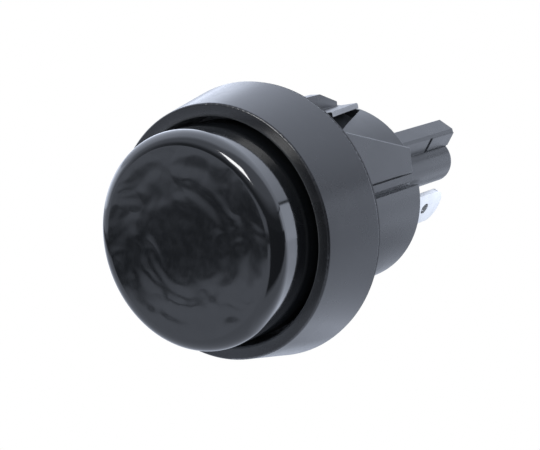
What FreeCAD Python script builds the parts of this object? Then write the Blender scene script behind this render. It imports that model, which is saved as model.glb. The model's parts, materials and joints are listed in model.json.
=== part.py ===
import FreeCAD, Part
import math
import os

# Momentary panel push button, snap-in body, blade terminals. Millimetres.
# Row frame: Y is the button's axis, +Y towards the back of the panel; Z is up; X is to
# the right when the cap is looked at from the front. y = 0 is the panel's front face.

os.makedirs("parts", exist_ok=True)
V = FreeCAD.Vector
ORIGIN = V(0, 0, 0)
AXIS = V(0, 1, 0)
outside = 20.0

# bezel and seals
bezel_front_y = -9.6
bezel_rear_y = -0.5
bezel_front_r = 16.55
bezel_rear_r = 18.2
bezel_hole_r = 14.85
bezel_bore_r = 16.35
bezel_edge = 0.22
bezel_lip = 0.3
snap_groove_r = 16.55
gasket_r = 18.05
gasket_hole_r = 12.6
panel_y = 0.0
seal_ring_r = 15.55
seal_cord_r = 0.4

# body
flange_y = -2.6
flange_r = 16.3
snap_bead_r = 16.5
body_r = 12.4
body_rear_r = 12.25
bore_r = 9.2
body_end_y = 20.1
recess_y = 19.3
boss_r = 6.0
boss_end_y = 4.4
bushing_r = 5.0
bushing_y = -1.4
running_gap = 0.05
key_half = 0.8
key_top = 14.3
key_ramp_y = 15.4
key_end_y = 19.4
key_rear_top = 12.8
key_room = 0.1

# snap wings: face and root distances from the axis, free edge, room for folding by
# wing_fold from flat; the narrow wings stand out from flat by splay
wing_thick = 0.7
wing_chamfer = 0.15
wing_fold = 32.0
wing_front_y = 2.1
wing_room = 0.15
fold_room = 0.25
seat_gap = 0.12
groove_start = 1.0
groove_least = 0.3
groove_depth = 0.55
wide_wing = {
    "face": 11.6, "root": 3.0, "ridge": 1.05, "splay": 0.0,
    "corner_y": 4.0, "corner": 10.6, "end_y": 19.6, "end": 6.15, "pocket_end_y": 22.0,
}
narrow_wing = {
    "face": 12.3, "root": 1.75, "ridge": 0.4, "splay": 5.0,
    "corner_y": 7.0, "corner": 8.0, "end_y": 19.1, "end": 4.35, "pocket_end_y": 19.3,
}

# cap and stem
cap_face_y = -16.7
cap_r = 14.1
cap_round = 1.8
cap_dish = 0.35
cap_wall = 1.2
cap_top = 1.6
skirt_end_y = -6.4
socket_r = 5.6
socket_end_y = -10.1
spigot_r = 3.6
stem_r = 4.0
stem_end_y = 11.6
stem_key_half = 0.6
stem_key_r = 4.5
clip_y = 4.45
clip_thick = 0.6
clip_seat_r = 3.4
clip_r = 5.4

# contacts; the bridge lies along a line 32 degrees below +X
bridge_az = -32.0
key_az = bridge_az + 90
contact_at = 6.2
bridge_y = 8.4
bridge_thick = 0.8
bridge_half_length = 7.6
bridge_half_width = 2.2
bridge_corner_r = 0.9
slot_y = 5.8
slot_half = 2.3
contact_head = 0.6
contact_gap = 2.5
moving_r = 1.4
fixed_r = 1.6
rivet_r = 0.7

# terminals
blade_thick = 0.8
blade_half = 2.4
blade_n = 9.4
blade_t = 2.25
blade_tip_y = 29.4
blade_tip_round = 2.3
blade_hole_r = 0.8
blade_hole_y = 25.3
leg_n = 8.0
base_r = 9.15
well_r = 4.6
well_depth = 2.0
screw_az = -70.0
screw_at = 10.4
screw_r = 0.8
screw_head_r = 1.45
screw_head = 0.9
drive_reach = 0.9
drive_half = 0.18
screw_length = 8.0
ear_r = 1.5

# guard posts beside the blades
post_x = 6.55
post_z = 2.3
post_r = 3.05
post_az = 55.0
post_reach = 5.52
post_side = -0.75
post_width = 3.0
post_end_y = 34.1
post_pilot_r = 1.2
post_pilot = 8.0
post_foot_r = 1.8
post_foot = 0.9
post_slot_y = 27.8
post_slot = 0.4
post_slot_depth = 0.25
post_lip = 0.12
post_chamfer = 0.35
post_fillet = 0.5

# springs
return_coil_r = 7.2
return_wire_r = 0.4
return_turns = 6
contact_coil_r = 1.65
contact_wire_r = 0.18
contact_turns = 4


def spin(points):
    """Solid of revolution about Y from (radius, y) points; (radius, y, 'via') bends the
    run from the point before it to the point after it into an arc."""
    run = points + [points[0]]
    here = run[0]
    edges = []
    i = 1
    while i < len(run):
        start = V(here[0], here[1], 0)
        if len(run[i]) == 3:
            via = V(run[i][0], run[i][1], 0)
            end = V(run[i + 1][0], run[i + 1][1], 0)
            edges.append(Part.Arc(start, via, end).toShape())
            here = run[i + 1]
            i += 2
        else:
            edges.append(Part.makeLine(start, V(run[i][0], run[i][1], 0)))
            here = run[i]
            i += 1
    return Part.Face(Part.Wire(edges)).revolve(ORIGIN, AXIS, 360)


def rod(r, y0, y1, x=0.0, z=0.0):
    return Part.makeCylinder(r, y1 - y0, V(x, y0, z), AXIS)


def tube(r_out, r_in, y0, y1):
    return rod(r_out, y0, y1).cut(rod(r_in, y0, y1))


def block(x0, x1, y0, y1, z0, z1):
    return Part.makeBox(x1 - x0, y1 - y0, z1 - z0, V(x0, y0, z0))


def at_az(shape, az):
    """Turns a shape about the button's axis, from +X towards +Z for a positive angle."""
    moved = shape.copy()
    moved.rotate(ORIGIN, AXIS, -az)
    return moved


def half_turn(shape):
    return at_az(shape, 180.0)


def prism_x(points, x0, x1):
    """Prism along X over a polygon of (y, z) points."""
    corners = [V(x0, y, z) for y, z in points]
    face = Part.Face(Part.makePolygon(corners + [corners[0]]))
    return face.extrude(V(x1 - x0, 0, 0))


def coil(coil_r, wire_r, turns, y0, y1):
    """Round-wire spring between the planes y0 and y1, one edge of the path to each turn."""
    pitch = (y1 - y0 - 2 * wire_r) / turns
    slope = math.atan2(pitch, 2 * math.pi * coil_r)
    along = V(0, math.cos(slope), math.sin(slope))
    section = Part.Wire(Part.makeCircle(wire_r, V(coil_r, 0, 0), along))
    turn = Part.makeHelix(pitch, pitch, coil_r)
    path = Part.Wire([turn.translated(V(0, 0, i * pitch)).Edges[0] for i in range(turns)])
    wire = path.makePipeShell([section], True, True)
    wire.rotate(ORIGIN, V(1, 0, 0), -90)
    wire.translate(V(0, y0 + wire_r, 0))
    return wire


def save(shape, node):
    clean = shape.removeSplitter()
    if len(clean.Solids) == 1:
        clean = clean.Solids[0]
    clean.exportStep("parts/" + node + ".step")
    print(node, "valid", clean.isValid(), "solids", len(clean.Solids), round(clean.Volume, 2))


# snap wings ------------------------------------------------------------------------

def wing_outline(wing, grow, end_y):
    """Outline in (y, sideways distance from the axis), grown for the pocket."""
    slope = (wing["end"] - wing["corner"]) / (wing["end_y"] - wing["corner_y"])
    far = wing["corner"] + slope * (end_y - wing["corner_y"])
    return [
        (wing_front_y - grow, wing["root"]),
        (wing["corner_y"] - grow, wing["corner"] + grow),
        (end_y, far + grow),
        (end_y, wing["root"]),
    ]


def handed(points, hand):
    return [(y, hand * t) for y, t in points]


def wing_solid(wing, hand):
    """A flat plate whose rounded root lies in a half-round seat in the body."""
    inner = wing["face"] - wing_thick
    mid = wing["face"] - wing_thick / 2
    plate = prism_x(handed(wing_outline(wing, 0.0, wing["end_y"]), hand), inner, wing["face"])
    face_edges = [edge for edge in plate.Edges if abs(edge.CenterOfMass.x - wing["face"]) < 0.01]
    free_edge = max(face_edges, key=lambda edge: hand * edge.CenterOfMass.z)
    plate = plate.makeChamfer(wing_chamfer, [free_edge])
    root = rod(wing_thick / 2, wing_front_y, wing["end_y"], mid, hand * wing["root"])
    solid = plate.fuse(root)
    solid.rotate(V(mid, 0, hand * wing["root"]), AXIS, hand * wing["splay"])
    return solid


def wing_pocket(wing, hand):
    """The room in the body for the wing, from its place at rest to fully folded, with a
    low ridge beside the seat and, where it is wide enough, a groove beside the ridge."""
    mid = wing["face"] - wing_thick / 2
    fold = math.radians(wing_fold)
    floor = mid * math.cos(fold) + wing["root"] * math.sin(fold) - wing_thick / 2 - fold_room
    over = prism_x(handed(wing_outline(wing, wing_room, wing["pocket_end_y"]), hand), 5.0, outside)
    beyond = at_az(block(floor, outside, 0, wing["pocket_end_y"], -outside, outside), hand * wing_fold)
    room = over.common(beyond)
    seat_r = wing_thick / 2 + seat_gap
    start_y = wing_front_y - wing_room
    seat_side = wing["root"] - seat_r
    ridge_side = seat_side - wing["ridge"]
    room = room.fuse(rod(seat_r, start_y, wing["pocket_end_y"], mid, hand * wing["root"]))

    def trench(bottom, side_a, side_b):
        low, high = sorted([hand * side_a, hand * side_b])
        return block(bottom, outside, start_y, wing["pocket_end_y"], low, high)

    room = room.fuse([trench(mid, seat_side, wing["root"]), trench(mid + 0.05, ridge_side, seat_side)])
    if ridge_side - groove_start > groove_least:
        room = room.fuse(trench(mid - groove_depth, groove_start, ridge_side))
    return room


wing_right = wing_solid(wide_wing, 1)
wing_top = at_az(wing_solid(narrow_wing, -1), 90)
wing_left = half_turn(wing_right)
wing_bottom = half_turn(wing_top)
pocket_right = wing_pocket(wide_wing, 1)
pocket_top = at_az(wing_pocket(narrow_wing, -1), 90)
pockets = [pocket_right, pocket_top, half_turn(pocket_right), half_turn(pocket_top)]
save(wing_right, "wing_right")
save(wing_top, "wing_top")
save(wing_left, "wing_left")
save(wing_bottom, "wing_bottom")

# bezel, gasket and seal ring ---------------------------------------------------------

e = bezel_edge
taper = (bezel_rear_r - bezel_front_r) / (bezel_rear_y - bezel_front_y)
bezel = spin([
    (bezel_hole_r, bezel_front_y + bezel_lip),
    (bezel_hole_r + 0.3 * bezel_lip, bezel_front_y + 0.3 * bezel_lip, "via"),
    (bezel_hole_r + bezel_lip, bezel_front_y),
    (bezel_front_r - e, bezel_front_y),
    (bezel_front_r - 0.27 * e, bezel_front_y + 0.27 * e, "via"),
    (bezel_front_r + taper * e, bezel_front_y + e),
    (bezel_rear_r - taper * 0.2, bezel_rear_y - 0.2),
    (bezel_rear_r - 0.08, bezel_rear_y - 0.05, "via"),
    (bezel_rear_r - 0.22, bezel_rear_y),
    (bezel_bore_r, bezel_rear_y),
    (bezel_bore_r, bezel_rear_y - 0.5),
    (snap_groove_r, bezel_rear_y - 0.5),
    (snap_groove_r, bezel_rear_y - 1.2),
    (bezel_bore_r, bezel_rear_y - 1.2),
    (bezel_bore_r, flange_y),
    (bezel_hole_r, flange_y),
])
save(bezel, "bezel")

gasket = spin([
    (gasket_hole_r, bezel_rear_y),
    (gasket_r - 0.1, bezel_rear_y),
    (gasket_r, bezel_rear_y + 0.1),
    (gasket_r, panel_y - 0.1),
    (gasket_r - 0.1, panel_y),
    (gasket_hole_r, panel_y),
])
key_gap = key_half + key_room
key_notch = block(-key_gap, key_gap, bezel_rear_y, panel_y, 0, key_top + key_room)
save(gasket.cut(key_notch), "panel_gasket")

seal_ring = Part.makeTorus(seal_ring_r, seal_cord_r, V(0, flange_y + seal_cord_r, 0), AXIS)
save(seal_ring, "bezel_seal")

# terminals ---------------------------------------------------------------------------

bridge_rear_y = bridge_y + bridge_thick
face_y = bridge_rear_y + contact_head + contact_gap
foot_y = face_y + contact_head
foot_end_y = foot_y + blade_thick


def blade():
    """Flat blade with a round end and a wiring hole, in the plane x = blade_n."""
    x0 = blade_n - blade_thick / 2
    low = blade_t - blade_half
    high = blade_t + blade_half
    k = blade_tip_round
    bend = k * (1 - math.sqrt(0.5))
    foot_low = V(x0, recess_y, low)
    side_low = V(x0, blade_tip_y - k, low)
    tip_low = V(x0, blade_tip_y, low + k)
    tip_high = V(x0, blade_tip_y, high - k)
    side_high = V(x0, blade_tip_y - k, high)
    foot_high = V(x0, recess_y, high)
    edges = [
        Part.makeLine(foot_low, side_low),
        Part.Arc(side_low, V(x0, blade_tip_y - bend, low + bend), tip_low).toShape(),
        Part.makeLine(tip_low, tip_high),
        Part.Arc(tip_high, V(x0, blade_tip_y - bend, high - bend), side_high).toShape(),
        Part.makeLine(side_high, foot_high),
        Part.makeLine(foot_high, foot_low),
    ]
    flat = Part.Face(Part.Wire(edges)).extrude(V(blade_thick, 0, 0))
    hole = Part.makeCylinder(blade_hole_r, blade_thick, V(x0, blade_hole_y, blade_t), V(1, 0, 0))
    return flat.cut(hole)


def terminal_solid():
    """Contact foot, leg inside the base, jog in the rear face and blade behind it."""
    leg_in = leg_n - blade_thick / 2
    leg_out = leg_n + blade_thick / 2
    foot = block(contact_at - 1.5, leg_out, foot_y, foot_end_y, -blade_half, blade_half)
    foot = foot.cut(rod(rivet_r, foot_y, foot_end_y, contact_at, 0))
    leg = block(leg_in, leg_out, foot_y, body_end_y, -blade_half, blade_half)
    jog = block(leg_in, blade_n + blade_thick / 2, recess_y, body_end_y, -blade_half, blade_t + blade_half)
    return foot.fuse([leg, jog, blade()])


# body shell --------------------------------------------------------------------------

flange = spin([
    (bushing_r, flange_y),
    (seal_ring_r - 0.45, flange_y),
    (seal_ring_r - 0.45, flange_y + 2 * seal_cord_r),
    (seal_ring_r + 0.45, flange_y + 2 * seal_cord_r),
    (seal_ring_r + 0.45, flange_y),
    (flange_r, flange_y),
    (flange_r, bezel_rear_y - 1.15),
    (snap_bead_r, bezel_rear_y - 1.0),
    (snap_bead_r, bezel_rear_y - 0.7),
    (flange_r, bezel_rear_y - 0.55),
    (flange_r, bezel_rear_y),
    (bushing_r, bezel_rear_y),
])
barrel = spin([
    (bore_r, bezel_rear_y),
    (body_r, bezel_rear_y),
    (body_r, panel_y + 4),
    (body_rear_r, body_end_y - 0.2),
    (body_rear_r - 0.06, body_end_y - 0.06, "via"),
    (body_rear_r - 0.2, body_end_y),
    (bore_r, body_end_y),
])
boss = tube(boss_r, bushing_r, flange_y, boss_end_y)
spring_step = tube(return_coil_r - return_wire_r - 0.1, bushing_r, flange_y - 0.5, flange_y)
key = prism_x([
    (panel_y, body_r - 0.6),
    (panel_y, key_top),
    (key_ramp_y, key_top),
    (key_end_y, key_rear_top),
    (key_end_y, body_r - 0.6),
], -key_half, key_half)
screw_x = screw_at * math.cos(math.radians(screw_az))
screw_z = screw_at * math.sin(math.radians(screw_az))
screw_tip_y = body_end_y - screw_length
ear = rod(ear_r, recess_y, body_end_y, screw_at, 0)
ear = at_az(ear.fuse(block(base_r - 1, screw_at, recess_y, body_end_y, -ear_r, ear_r)), screw_az)
ears = [ear, half_turn(ear)]
terminal_a = at_az(terminal_solid(), bridge_az)
terminal_b = half_turn(terminal_a)
shell = flange.fuse([barrel, boss, spring_step, key])
for hollow in pockets + ears + [terminal_a, terminal_b]:
    shell = shell.cut(hollow)
for side in (1, -1):
    shell = shell.cut(rod(screw_r, screw_tip_y, body_end_y, side * screw_x, side * screw_z))
save(shell, "body_shell")

# guide and stem seal -----------------------------------------------------------------

guide_r = stem_r + running_gap
keyway = at_az(
    block(0, stem_key_r + running_gap, flange_y, boss_end_y,
          -stem_key_half - running_gap, stem_key_half + running_gap),
    key_az)
bushing = tube(bushing_r, guide_r, bushing_y, boss_end_y).cut(keyway)
save(bushing, "guide_bushing")
seal = spin([
    (guide_r, flange_y + 0.5),
    (guide_r, flange_y - 0.3),
    (guide_r + 0.3, flange_y - 0.3),
    (guide_r + 0.7, flange_y),
    (bushing_r, flange_y),
    (bushing_r, bushing_y),
    (guide_r, bushing_y),
])
seal_keyway = at_az(
    block(0, stem_key_r + running_gap, flange_y - 1, bushing_y,
          -stem_key_half - running_gap, stem_key_half + running_gap),
    key_az)
save(seal.cut(seal_keyway), "stem_seal")

# cap, stem and clip --------------------------------------------------------------------

c = cap_round
dish_rim = cap_r - c
dish_r = (dish_rim ** 2 + cap_dish ** 2) / (2 * cap_dish)
# the dish is cut by a large ball whose poles lie to the sides, clear of the face
ball = Part.makeSphere(dish_r, V(0, cap_face_y + cap_dish - dish_r, 0), V(1, 0, 0))
cap = spin([
    (0, cap_face_y),
    (dish_rim, cap_face_y),
    (cap_r - 0.293 * c, cap_face_y + 0.293 * c, "via"),
    (cap_r, cap_face_y + c),
    (cap_r + 0.05, skirt_end_y - 0.3),
    (cap_r - 0.25, skirt_end_y),
    (cap_r - cap_wall, skirt_end_y),
    (cap_r - cap_wall - 0.1, cap_face_y + cap_top + 0.6),
    (cap_r - cap_wall - 0.3, cap_face_y + cap_top + 0.2, "via"),
    (cap_r - cap_wall - 0.7, cap_face_y + cap_top),
    (socket_r, cap_face_y + cap_top),
    (socket_r, socket_end_y),
    (spigot_r, socket_end_y),
    (spigot_r, cap_face_y + cap_top + 0.2),
    (0, cap_face_y + cap_top + 0.2),
])
save(cap.cut(ball), "cap")

stem = spin([
    (0, cap_face_y + cap_top + 0.2),
    (spigot_r - 0.3, cap_face_y + cap_top + 0.2),
    (spigot_r, cap_face_y + cap_top + 0.5),
    (spigot_r, socket_end_y),
    (stem_r, socket_end_y),
    (stem_r, clip_y),
    (clip_seat_r, clip_y),
    (clip_seat_r, clip_y + clip_thick),
    (stem_r, clip_y + clip_thick),
    (stem_r, stem_end_y - 0.4),
    (stem_r - 0.4, stem_end_y),
    (0, stem_end_y),
])
stem_key = at_az(block(3, stem_key_r, socket_end_y, clip_y - 0.3, -stem_key_half, stem_key_half), key_az)
slot = at_az(block(-6, 6, slot_y, bridge_y + bridge_thick, -slot_half, slot_half), bridge_az)
pip = rod(1.2, slot_y - 0.5, slot_y + 0.7)
stem = stem.fuse(stem_key).cut(slot).fuse(pip)
save(stem, "stem")

clip = tube(clip_r, clip_seat_r, clip_y, clip_y + clip_thick)
clip = clip.cut(at_az(block(0, 8, clip_y, clip_y + clip_thick, -2.6, 2.6), key_az + 180))
save(clip, "stem_clip")

# bridge and moving contacts ------------------------------------------------------------

bar = block(-bridge_half_length, bridge_half_length, bridge_y, bridge_rear_y,
            -bridge_half_width, bridge_half_width)
corners = [edge for edge in bar.Edges if abs(edge.tangentAt(edge.FirstParameter).y) > 0.9]
bar = bar.makeFillet(bridge_corner_r, corners)
for side in (1, -1):
    bar = bar.cut(rod(rivet_r, bridge_y, bridge_rear_y, side * contact_at, 0))
save(at_az(bar, bridge_az), "contact_bridge")


def rivet(head_r, y_back, y_seat, y_face, far_head):
    """Contact rivet: domed head from y_seat to y_face, shank to y_back, peened end."""
    step = 1 if y_face > y_seat else -1
    head = spin([
        (0, y_seat),
        (head_r, y_seat),
        (head_r, y_face - step * 0.25),
        (0.85 * head_r, y_face - step * 0.06, "via"),
        (0.6 * head_r, y_face),
        (0, y_face),
    ])
    low, high = sorted([y_back, y_seat])
    shank = rod(rivet_r, low, high)
    tail_low, tail_high = sorted([y_back, y_back - step * far_head])
    tail = rod(rivet_r + 0.3, tail_low, tail_high) if far_head > 0 else None
    body = head.fuse(shank)
    return body.fuse(tail) if tail else body


moving = rivet(moving_r, bridge_y, bridge_rear_y, bridge_rear_y + contact_head, 0.25)
for side, letter in ((1, "a"), (-1, "b")):
    placed = moving.copy()
    placed.translate(V(side * contact_at, 0, 0))
    save(at_az(placed, bridge_az), "moving_contact_" + letter)

# terminals and fixed contacts ----------------------------------------------------------

save(terminal_a, "terminal_a")
save(terminal_b, "terminal_b")

fixed = rivet(fixed_r, foot_end_y, foot_y, face_y, 0.0)
fixed.translate(V(contact_at, 0, 0))
fixed_a = at_az(fixed, bridge_az)
save(fixed_a, "fixed_contact_a")
save(half_turn(fixed_a), "fixed_contact_b")

# terminal base, posts and screws ---------------------------------------------------------

post_foot_y = body_end_y - post_foot


def post_solid():
    """Keyhole-section post: a round boss with a fin, and a foot let into the base."""
    round_boss = rod(post_r, body_end_y, post_end_y)
    rear_rim = [edge for edge in round_boss.Edges if edge.CenterOfMass.y > post_end_y - 0.01]
    round_boss = round_boss.makeFillet(post_fillet, rear_rim)
    fin = block(0, post_reach, body_end_y, post_end_y, post_side, post_side + post_width)
    fin = fin.makeChamfer(post_chamfer, [
        edge for edge in fin.Edges
        if abs(edge.tangentAt(edge.FirstParameter).y) > 0.9 and edge.CenterOfMass.x > 1
    ])
    body = round_boss.fuse(fin)
    body = body.fuse(rod(post_foot_r, post_foot_y, body_end_y))
    body = body.cut(rod(post_pilot_r, post_end_y - post_pilot, post_end_y))
    tip_y = post_slot_y + post_slot
    fin_end = post_reach - post_chamfer
    lip = block(post_r, fin_end, tip_y, post_end_y, post_side - post_lip, post_side)
    slot_floor = post_side + post_slot_depth
    notch = block(0, fin_end, post_slot_y, tip_y, post_side, slot_floor).cut(rod(post_r, 0, tip_y))
    body = body.fuse(lip).cut(notch)
    body = at_az(body, post_az)
    body.translate(V(post_x, 0, post_z))
    return body


post_a = post_solid()
post_b = half_turn(post_a)
save(post_a, "terminal_guard_a")
save(post_b, "terminal_guard_b")

base = rod(base_r, foot_end_y, body_end_y).fuse(ears)
base = base.cut(rod(well_r, foot_end_y, foot_end_y + well_depth))
for side in (1, -1):
    base = base.cut(rod(screw_r, recess_y, body_end_y, side * screw_x, side * screw_z))
    base = base.cut(rod(post_foot_r, post_foot_y, body_end_y, side * post_x, side * post_z))
base = base.cut(terminal_a).cut(terminal_b)
save(base, "terminal_base")

screw = rod(screw_r, screw_tip_y, body_end_y)
head = spin([
    (0, body_end_y),
    (screw_head_r, body_end_y),
    (screw_head_r, body_end_y + 0.5 * screw_head),
    (0.8 * screw_head_r, body_end_y + 0.87 * screw_head, "via"),
    (0.3 * screw_head_r, body_end_y + screw_head),
    (0, body_end_y + screw_head),
])
drive_y = body_end_y + 0.5 * screw_head
slit = block(-drive_reach, drive_reach, drive_y, body_end_y + 2 * screw_head, -drive_half, drive_half)
cross = slit.fuse(slit.rotated(ORIGIN, AXIS, 90))
screw = screw.fuse(head).cut(cross)
for side, letter in ((1, "a"), (-1, "b")):
    placed = screw.copy()
    placed.translate(V(side * screw_x, 0, side * screw_z))
    save(placed, "base_screw_" + letter)

# springs ---------------------------------------------------------------------------------

save(coil(return_coil_r, return_wire_r, return_turns, cap_face_y + cap_top, flange_y), "return_spring")
save(coil(contact_coil_r, contact_wire_r, contact_turns, slot_y, bridge_y), "contact_spring")
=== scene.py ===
import json
import math

import bmesh
import bpy
from mathutils import Euler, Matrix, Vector


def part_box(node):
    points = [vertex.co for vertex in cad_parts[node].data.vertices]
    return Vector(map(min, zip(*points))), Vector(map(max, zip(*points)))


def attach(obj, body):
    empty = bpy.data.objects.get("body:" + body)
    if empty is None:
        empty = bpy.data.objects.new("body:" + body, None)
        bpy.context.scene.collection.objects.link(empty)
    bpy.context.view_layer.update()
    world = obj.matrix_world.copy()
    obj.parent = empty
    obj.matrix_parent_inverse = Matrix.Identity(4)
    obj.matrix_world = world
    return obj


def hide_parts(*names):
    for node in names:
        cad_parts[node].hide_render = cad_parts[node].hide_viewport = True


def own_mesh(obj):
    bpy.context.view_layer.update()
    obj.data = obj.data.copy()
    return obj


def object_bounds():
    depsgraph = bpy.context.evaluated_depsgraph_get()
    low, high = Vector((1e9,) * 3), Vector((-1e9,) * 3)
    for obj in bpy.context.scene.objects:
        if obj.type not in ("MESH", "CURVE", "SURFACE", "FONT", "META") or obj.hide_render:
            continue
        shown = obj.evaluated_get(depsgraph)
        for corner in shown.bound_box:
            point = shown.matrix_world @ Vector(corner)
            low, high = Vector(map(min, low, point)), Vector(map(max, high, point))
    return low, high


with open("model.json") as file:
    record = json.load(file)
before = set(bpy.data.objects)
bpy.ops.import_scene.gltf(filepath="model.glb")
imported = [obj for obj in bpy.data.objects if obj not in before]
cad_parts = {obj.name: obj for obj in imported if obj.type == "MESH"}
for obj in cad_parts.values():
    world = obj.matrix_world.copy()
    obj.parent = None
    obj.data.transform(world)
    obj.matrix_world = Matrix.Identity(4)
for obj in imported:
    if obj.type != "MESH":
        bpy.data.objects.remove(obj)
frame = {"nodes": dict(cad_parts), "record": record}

MM = 0.001
CAD_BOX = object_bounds()
NODES = frame["nodes"]

# ---------------------------------------------------------------- node helpers


class Nodes:
    """Short calls for making nodes in one node tree."""

    def __init__(self, tree):
        self.tree = tree

    def node(self, kind, **settings):
        made = self.tree.nodes.new(kind)
        for key, value in settings.items():
            setattr(made, key, value)
        return made

    def set(self, node, socket, value):
        """A socket takes a plain value, or the output of another node."""
        if isinstance(value, bpy.types.NodeSocket):
            self.tree.links.new(value, node.inputs[socket])
        else:
            node.inputs[socket].default_value = value

    def math(self, operation, a, b=0.0, clamp=False):
        made = self.node("ShaderNodeMath", operation=operation, use_clamp=clamp)
        self.set(made, 0, a)
        self.set(made, 1, b)
        return made.outputs[0]

    def dot(self, vector, direction):
        made = self.node("ShaderNodeVectorMath", operation="DOT_PRODUCT")
        self.set(made, 0, vector)
        self.set(made, 1, Vector(direction).normalized())
        return made.outputs["Value"]

    def radius(self, a, b):
        """Distance of a place from an axis, from its two places across the axis."""
        squares = self.math("ADD", self.math("POWER", a, 2.0), self.math("POWER", b, 2.0))
        return self.math("SQRT", squares)

    def noise(self, scale, detail=3.0, rough=0.55, distort=0.0, place=None):
        made = self.node("ShaderNodeTexNoise")
        self.set(made, "Vector", place or self.place)
        self.set(made, "Scale", scale)
        self.set(made, "Detail", detail)
        self.set(made, "Roughness", rough)
        self.set(made, "Distortion", distort)
        return made.outputs["Fac"]

    def stretched(self, x, y, z):
        """The place, scaled along each axis, so that a noise on it is drawn out."""
        made = self.node("ShaderNodeMapping", vector_type="POINT")
        self.set(made, "Vector", self.place)
        self.set(made, "Scale", (x, y, z))
        return made.outputs["Vector"]

    def span(self, value, low, high, to_low, to_high):
        """value from low..high to to_low..to_high, held at the ends."""
        made = self.node("ShaderNodeMapRange")
        for socket, amount in zip((0, 1, 2, 3, 4), (value, low, high, to_low, to_high)):
            self.set(made, socket, amount)
        return made.outputs[0]

    def mix(self, factor, a, b):
        made = self.node("ShaderNodeMix", data_type="RGBA")
        self.set(made, "Factor", factor)
        colours = [s for s in made.inputs if s.type == "RGBA"]
        for socket, colour in zip(colours, (a, b)):
            if isinstance(colour, bpy.types.NodeSocket):
                self.tree.links.new(colour, socket)
            else:
                socket.default_value = (*colour, 1.0)
        return [s for s in made.outputs if s.type == "RGBA"][0]

    def bump(self, height, distance, normal=None):
        made = self.node("ShaderNodeBump")
        self.set(made, "Height", height)
        self.set(made, "Strength", 1.0)
        self.set(made, "Distance", distance)
        if normal is not None:
            self.set(made, "Normal", normal)
        return made.outputs["Normal"]

    def soft_edges(self, radius):
        made = self.node("ShaderNodeBevel", samples=6)
        self.set(made, "Radius", radius)
        return made.outputs["Normal"]

    def buried(self, reach):
        """1 deep in a corner or a gap, 0 on open faces."""
        made = self.node("ShaderNodeAmbientOcclusion", samples=8)
        self.set(made, "Distance", reach)
        return self.span(made.outputs["AO"], 0.25, 0.75, 1.0, 0.0)

    def parts_of(self, vector):
        made = self.node("ShaderNodeSeparateXYZ")
        self.set(made, 0, vector)
        return made.outputs[0], made.outputs[1], made.outputs[2]

    def seen_directly(self):
        """1 for the backdrop itself, 0 where it lights the part or is mirrored in it."""
        return self.node("ShaderNodeLightPath").outputs["Is Camera Ray"]


class Look(Nodes):
    """One procedural material around a Principled shader."""

    def __init__(self, name, colour, roughness, metallic=0.0, **sockets):
        self.material = bpy.data.materials.new(name)
        self.material.use_nodes = True
        super().__init__(self.material.node_tree)
        self.shader = self.tree.nodes["Principled BSDF"]
        self.set(self.shader, "Base Color", (*colour, 1.0))
        self.set(self.shader, "Roughness", roughness)
        self.set(self.shader, "Metallic", metallic)
        for socket, value in sockets.items():
            self.set(self.shader, socket.replace("_", " "), value)
        self.place = self.node("ShaderNodeTexCoord").outputs["Object"]


# ------------------------------------------------------------------- materials

# the black mouldings are painted a little paler deep in their gaps, out to GAP_REACH: painted
# light standing in for the light that reaches into them
RECESS_PAINTED_LIGHT = (0.12, 0.125, 0.13)
GAP_REACH = 4 * MM


def moulded_plastic(name, colour, roughness, grain, edge, recess_painted_light=None, **sockets):
    """Satin moulded plastic: fine spark texture, slow sheen changes, soft scuffs; the paler
    colour of its gaps and corners, if given, is painted light there."""
    look = Look(name, colour, roughness, **sockets)
    slow = look.noise(90.0, 4.0, 0.6)
    fine = look.noise(5200.0, 2.0, 0.5)
    scuff = look.noise(700.0, 6.0, 0.7, 0.6)
    scuffed = tuple(min(1.0, 1.7 * c + 0.006) for c in colour)
    skin = look.mix(look.span(scuff, 0.52, 0.78, 0.0, 0.6), colour, scuffed)
    # painted light: the colour turns paler deep in gaps and corners
    if recess_painted_light is not None:
        skin = look.mix(look.buried(GAP_REACH), skin, recess_painted_light)
    look.set(look.shader, "Base Color", skin)
    wear = look.span(slow, 0.3, 0.7, roughness - 0.05, roughness + 0.06)
    rub = look.span(scuff, 0.5, 0.8, 0.0, 0.08)
    look.set(look.shader, "Roughness", look.math("ADD", wear, rub))
    normal = look.bump(fine, grain, look.soft_edges(edge))
    look.set(look.shader, "Normal", look.bump(slow, 4 * grain, normal))
    return look.material


def polished_cap(name, colour):
    """Gloss black moulding; its thin face has sunk a little in uneven rings, least at the
    centre, and its rounded rim is smooth."""
    look = Look(name, colour, 0.1, Coat_Weight=0.5, Coat_Roughness=0.04)
    rings = look.node(
        "ShaderNodeTexWave", wave_type="RINGS", rings_direction="Y", wave_profile="SIN")
    look.set(rings, "Vector", look.place)
    look.set(rings, "Scale", 95.0)
    look.set(rings, "Distortion", 2.2)
    look.set(rings, "Detail", 1.5)
    look.set(rings, "Detail Scale", 1.3)
    patches = look.noise(170.0, 1.0, 0.5, 0.4)
    sunk = look.math("MULTIPLY", rings.outputs["Fac"], look.span(patches, 0.42, 0.62, 0.0, 1.0))
    swirls = look.noise(190.0, 1.0, 0.5, 1.0)
    height = look.math("ADD", sunk, look.math("MULTIPLY", swirls, 1.1))
    across, _, up = look.parts_of(look.place)
    out = look.radius(across, up)
    calm_centre = look.span(out, 3 * MM, 8 * MM, 0.25, 1.0)
    smooth_rim = look.span(out, 12.2 * MM, 13.3 * MM, 1.0, 0.0)
    height = look.math("MULTIPLY", height, look.math("MULTIPLY", calm_centre, smooth_rim))
    haze = look.noise(900.0, 5.0, 0.65, 0.4)
    look.set(look.shader, "Roughness", look.span(haze, 0.4, 0.75, 0.07, 0.15))
    look.set(look.shader, "Normal", look.bump(height, 0.04 * MM))
    return look.material


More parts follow.
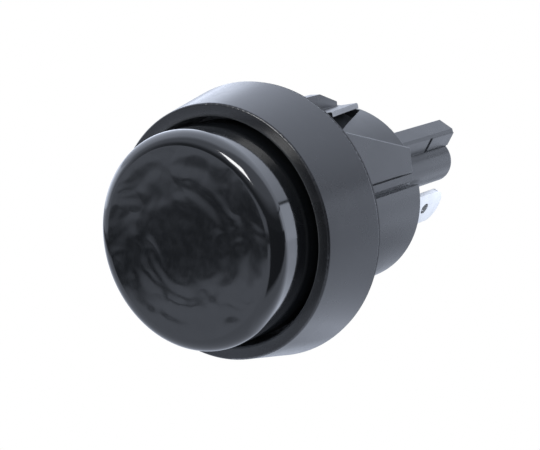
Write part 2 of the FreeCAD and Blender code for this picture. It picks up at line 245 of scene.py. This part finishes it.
def rubber(name, colour):
    """Matt rubber with a fine grain and a paler bloom in patches."""
    look = Look(name, colour, 0.7)
    grain = look.noise(3800.0, 4.0, 0.6)
    bloom = look.noise(240.0, 5.0, 0.65)
    lighter = tuple(2.2 * c + 0.008 for c in colour)
    skin = look.mix(look.span(bloom, 0.45, 0.75, 0.0, 0.7), colour, lighter)
    look.set(look.shader, "Base Color", skin)
    look.set(look.shader, "Roughness", look.span(bloom, 0.3, 0.7, 0.62, 0.8))
    look.set(look.shader, "Normal", look.bump(grain, 0.02 * MM, look.soft_edges(0.1 * MM)))
    return look.material


def plated(name, colour, dull, roughness, drawn):
    """Bare or plated metal with fine drawn lines and slightly dull patches."""
    look = Look(name, colour, roughness, metallic=1.0)
    lines = look.noise(1.0, 3.0, 0.6, 0.0, look.stretched(*drawn))
    cloud = look.noise(420.0, 4.0, 0.6)
    skin = look.mix(look.span(cloud, 0.4, 0.75, 0.0, 0.55), colour, dull)
    look.set(look.shader, "Base Color", skin)
    rough = look.span(lines, 0.3, 0.7, roughness - 0.07, roughness + 0.1)
    rough = look.math("ADD", rough, look.span(cloud, 0.4, 0.8, 0.0, 0.08))
    look.set(look.shader, "Roughness", rough)
    look.set(look.shader, "Normal", look.bump(lines, 0.004 * MM, look.soft_edges(0.06 * MM)))
    return look.material


# one look for each material slot of the record
LOOKS = {
    "bezel_plastic": moulded_plastic(
        "bezel plastic", (0.012, 0.0125, 0.0135),
        roughness=0.22, grain=0.003 * MM, edge=0.12 * MM, recess_painted_light=RECESS_PAINTED_LIGHT),
    "body_plastic": moulded_plastic(
        "body plastic", (0.011, 0.0115, 0.012),
        roughness=0.28, grain=0.003 * MM, edge=0.10 * MM, recess_painted_light=RECESS_PAINTED_LIGHT, Specular_IOR_Level=0.39),
    "cap_plastic": polished_cap("cap plastic", (0.005, 0.0055, 0.006)),
    "stem_plastic": moulded_plastic(
        "stem plastic", (0.62, 0.60, 0.54), roughness=0.36, grain=0.004 * MM, edge=0.08 * MM),
    "bushing_plastic": moulded_plastic(
        "bushing plastic", (0.74, 0.73, 0.68), roughness=0.33, grain=0.003 * MM, edge=0.06 * MM),
    "seal_rubber": rubber("seal rubber", (0.016, 0.016, 0.017)),
    "blade_metal": plated(
        "tinned blade", (0.72, 0.72, 0.71),
        dull=(0.58, 0.58, 0.57), roughness=0.3, drawn=(9000, 260, 9000)),
    "bridge_brass": plated(
        "bridge brass", (0.80, 0.60, 0.27),
        dull=(0.56, 0.40, 0.18), roughness=0.27, drawn=(300, 9000, 300)),
    "contact_silver": plated(
        "contact silver", (0.90, 0.89, 0.86),
        dull=(0.66, 0.65, 0.63), roughness=0.2, drawn=(900, 900, 900)),
    "spring_steel": plated(
        "spring wire", (0.56, 0.57, 0.58),
        dull=(0.36, 0.36, 0.37), roughness=0.26, drawn=(2500, 2500, 2500)),
    "screw_steel": plated(
        "plated screw", (0.66, 0.67, 0.68),
        dull=(0.47, 0.47, 0.48), roughness=0.3, drawn=(2600, 2600, 2600)),
}


def dress(obj, slot_name):
    """The piece wears its slot's look and nothing else."""
    obj.data.materials.clear()
    obj.data.materials.append(LOOKS[slot_name])


for part in frame["record"]["subparts"]:
    dress(NODES[part["node"]], part["material_slot"])

# --------------------------------------------------------------------- springs


def swept_coil(name, centre_r, wire_r, turns, y0, y1, closed_turns):
    """A compression spring along Y with closed end coils, as a mesh."""
    # steps along each turn, and sides of the wire
    steps, sides = 40, 12
    low, high = y0 + wire_r, y1 - wire_r
    total = int(turns * steps)
    end = closed_turns * steps
    # the closed coils lie just clear of each other
    closed_rise = closed_turns * 2.1 * wire_r
    points = []
    for i in range(total + 1):
        if i < end:
            y = low + closed_rise * i / end
        elif i > total - end:
            y = high - closed_rise * (total - i) / end
        else:
            y = low + closed_rise + (high - low - 2 * closed_rise) * (i - end) / (total - 2 * end)
        angle = 2 * math.pi * i / steps
        points.append(Vector((centre_r * math.cos(angle), y, centre_r * math.sin(angle))))
    mesh = bmesh.new()
    rings = []
    for i, point in enumerate(points):
        ahead = points[min(i + 1, total)] - points[max(i - 1, 0)]
        ahead.normalize()
        out = Vector((point.x, 0, point.z)).normalized()
        side = ahead.cross(out).normalized()
        out = side.cross(ahead).normalized()
        ring = []
        for k in range(sides):
            turn = 2 * math.pi * k / sides
            offset = math.cos(turn) * out + math.sin(turn) * side
            ring.append(mesh.verts.new(point + wire_r * offset))
        rings.append(ring)
    for a, b in zip(rings, rings[1:]):
        for k in range(sides):
            mesh.faces.new((a[k], a[(k + 1) % sides], b[(k + 1) % sides], b[k]))
    mesh.faces.new(rings[0])
    mesh.faces.new(list(reversed(rings[-1])))
    bmesh.ops.recalc_face_normals(mesh, faces=mesh.faces)
    data = bpy.data.meshes.new(name)
    mesh.to_mesh(data)
    mesh.free()
    for face in data.polygons:
        face.use_smooth = True
    spring = bpy.data.objects.new(name, data)
    bpy.context.scene.collection.objects.link(spring)
    return spring


def replace_spring(node, body, wire_r, turns):
    """Stands for a CAD spring."""
    low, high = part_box(node)
    centre_r = (high.x - low.x) / 2 - wire_r
    spring = swept_coil(node + "_wire", centre_r, wire_r, turns, low.y, high.y, closed_turns=1.0)
    dress(spring, "spring_steel")
    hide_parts(node)
    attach(spring, body)
    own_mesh(spring)


replace_spring("return_spring", "housing", wire_r=0.4 * MM, turns=7.0)
replace_spring("contact_spring", "button", wire_r=0.18 * MM, turns=4.0)

# ---------------------------------------------------------------------- camera

# degrees round from the front, up, and turned about the line of sight
AZIMUTH, ELEVATION, ROLL = 35.4, 8.74, 6.16
DISTANCE = 250 * MM
FOCAL_LENGTH = 133.3
AIM = Vector((7.2, -8.5, 0.8)) * MM


def camera():
    """The camera, looking at AIM from the direction that the angles give."""
    data = bpy.data.cameras.new("camera")
    data.sensor_width = 36.0
    data.lens = FOCAL_LENGTH
    data.clip_start = 0.01
    data.dof.use_dof = False
    made = bpy.data.objects.new("camera", data)
    az, el = math.radians(AZIMUTH), math.radians(ELEVATION)
    back = Vector((math.sin(az) * math.cos(el), -math.cos(az) * math.cos(el), math.sin(el)))
    made.location = AIM + DISTANCE * back
    facing = Euler((math.radians(90.0 - ELEVATION), 0.0, az), "XYZ").to_matrix()
    tilt = Euler((0.0, 0.0, math.radians(-ROLL)), "XYZ").to_matrix()
    made.rotation_euler = (facing @ tilt).to_euler("XYZ")
    bpy.context.scene.collection.objects.link(made)
    bpy.context.scene.camera = made


camera()

# ------------------------------------------------------------- stage and light

# colour of all light from the floor and the walls
TINT = (0.92, 1.0, 1.18)
# brightness of a fully lit wall or floor, and of the walls in front of the part
LIT = 2.0
FRONT_WALL = 0.75
# brightness of the open front of the tent, low down
OPENING = 0.12
# the floor in front of the part: its near band, then the darker floor beyond
APRON = 0.85
SHADE = 0.08
# middle of the painted shadow of the part in the floor's glow, behind the part, in the plane of
# the floor
PAINTED_SHADOW_X = 8 * MM
PAINTED_SHADOW_Y = 30 * MM
# the dark joint between the wall panels, as the upward part of a direction
SEAM_HEIGHT = 0.24
# direction of the brightest patch of the tent
WINDOW = (-0.62, 0.72, 0.32)


def floor():
    """A wide pale sheet just under the bezel that glows: white where seen directly; in
    reflections its glow is bright behind the part, with a painted shadow of the part near it, and
    dim in front.
    """
    mesh = bmesh.new()
    bmesh.ops.create_grid(mesh, x_segments=1, y_segments=1, size=3.0)
    data = bpy.data.meshes.new("floor")
    mesh.to_mesh(data)
    mesh.free()
    sheet = bpy.data.objects.new("floor", data)
    sheet.location.z = CAD_BOX[0][2] - 0.3 * MM
    bpy.context.scene.collection.objects.link(sheet)
    look = Look("pale sheet", (0.0, 0.0, 0.0), 1.0, Specular_IOR_Level=0.0)
    x, y, _ = look.parts_of(look.place)

    # how far a place lies in front of the part; the right side counts for more
    ahead = look.math("SUBTRACT", look.math("MULTIPLY", x, -0.6), look.math("MULTIPLY", y, 0.8))
    right = look.math("SUBTRACT", look.math("MULTIPLY", x, 1.6), look.math("MULTIPLY", y, 2.4))
    right = look.math("MULTIPLY", right, look.span(x, -0.01, 0.01, 0.0, 1.0))
    ahead = look.math("MAXIMUM", ahead, right)

    # behind the part: a painted shadow of the part, dim near its middle and left of it; brighter
    # glow further off
    from_painted_shadow = look.radius(
        look.math("SUBTRACT", x, PAINTED_SHADOW_X), look.math("SUBTRACT", y, PAINTED_SHADOW_Y))
    behind = look.span(from_painted_shadow, 0.008, 0.03, 0.4 * LIT, 0.8 * LIT)
    behind = look.math("MINIMUM", behind, look.span(x, 0.007, 0.014, 0.39 * LIT, LIT))
    behind = look.math("ADD", behind, look.span(from_painted_shadow, 0.06, 0.15, 0.0, 0.2 * LIT))

    # in front of it: the apron, then shade, then pale again far out on the left
    before = look.span(look.span(ahead, 0.1, 0.118, 0.0, 1.0), 0.0, 1.0, APRON, SHADE)
    far_out = look.span(ahead, 0.14, 0.17, 0.0, APRON - SHADE)
    far_out = look.math("MULTIPLY", far_out, look.math("LESS_THAN", x, 0.0))
    before = look.math("ADD", before, far_out)

    glow = look.span(look.span(ahead, 0.035, 0.075, 0.0, 1.0), 0.0, 1.0, behind, before)
    direct = look.seen_directly()
    mirrored = look.math("SUBTRACT", 1.0, direct)
    strength = look.math("ADD", direct, look.math("MULTIPLY", glow, mirrored))
    look.set(look.shader, "Emission Color", look.mix(direct, TINT, (1.0, 1.0, 1.0)))
    look.set(look.shader, "Emission Strength", strength)
    data.materials.append(look.material)


def softbox(name, direction, distance, size, power):
    """A rectangular lamp, so far off in that direction, facing the part."""
    data = bpy.data.lights.new(name, "AREA")
    data.shape = "RECTANGLE"
    data.size, data.size_y = size
    data.energy = power
    light = bpy.data.objects.new(name, data)
    light.location = Vector(direction).normalized() * distance
    light.rotation_euler = Vector(direction).to_track_quat("Z", "Y").to_euler()
    bpy.context.scene.collection.objects.link(light)


def studio():
    """A bright white tent, open and dark towards the front, with one softbox above."""
    world = bpy.data.worlds.new("tent")
    bpy.context.scene.world = world
    world.use_nodes = True
    tent = Nodes(world.node_tree)
    back = tent.tree.nodes["Background"]
    toward = tent.node("ShaderNodeTexCoord").outputs["Generated"]
    x, y, z = tent.parts_of(toward)
    ahead = tent.math("SUBTRACT", tent.math("MAXIMUM", x, 0.0), y)

    # walls: bright below the seam, a little dimmer above it, dimmer still in front
    upper = tent.span(z, 0.25, 0.7, 0.64, 0.86)
    upper = tent.math("MAXIMUM", upper, tent.math("LESS_THAN", z, SEAM_HEIGHT))
    wall = tent.math("MULTIPLY", upper, LIT)
    wall = tent.span(tent.span(ahead, 0.3, 0.55, 0.0, 1.0), 0.0, 1.0, wall, FRONT_WALL)

    # the dark opening low in front
    opening = tent.math(
        "MULTIPLY", tent.span(ahead, 0.6, 0.8, 0.0, 1.0), tent.span(z, 0.15, 0.45, 1.0, 0.0))
    wall = tent.span(opening, 0.0, 1.0, wall, OPENING)

    # the dark seam, on the back walls only
    off_seam = tent.math("ABSOLUTE", tent.math("SUBTRACT", z, SEAM_HEIGHT))
    seam = tent.span(off_seam, 0.008, 0.022, 0.12, 1.0)
    wall = tent.math("MULTIPLY", wall, tent.math("MAXIMUM", seam, tent.math("LESS_THAN", y, 0.2)))

    # a dim patch low on the left at the back
    low_left = tent.math(
        "MULTIPLY", tent.span(z, 0.1, 0.2, 1.0, 0.0), tent.span(x, -0.5, -0.3, 1.0, 0.0))
    low_left = tent.math("MULTIPLY", low_left, tent.span(y, 0.4, 0.6, 0.0, 1.0))
    kept_light = tent.math("SUBTRACT", 1.0, tent.math("MULTIPLY", low_left, 0.6))
    wall = tent.math("MULTIPLY", wall, kept_light)

    window = tent.span(tent.dot(toward, WINDOW), 0.96, 0.99, 0.0, 0.8)
    wall = tent.math("ADD", wall, window)

    direct = tent.seen_directly()
    mirrored = tent.math("SUBTRACT", 1.0, direct)
    strength = tent.math("ADD", direct, tent.math("MULTIPLY", wall, mirrored))
    tent.set(back, "Color", tent.mix(direct, TINT, (1.0, 1.0, 1.0)))
    tent.set(back, "Strength", strength)
    softbox("key", (0.03, -0.84, 0.52), distance=0.5, size=(0.185, 0.12), power=1.1)


floor()
studio()
view = bpy.context.scene.view_settings
view.view_transform = "Standard"
view.look = "None"
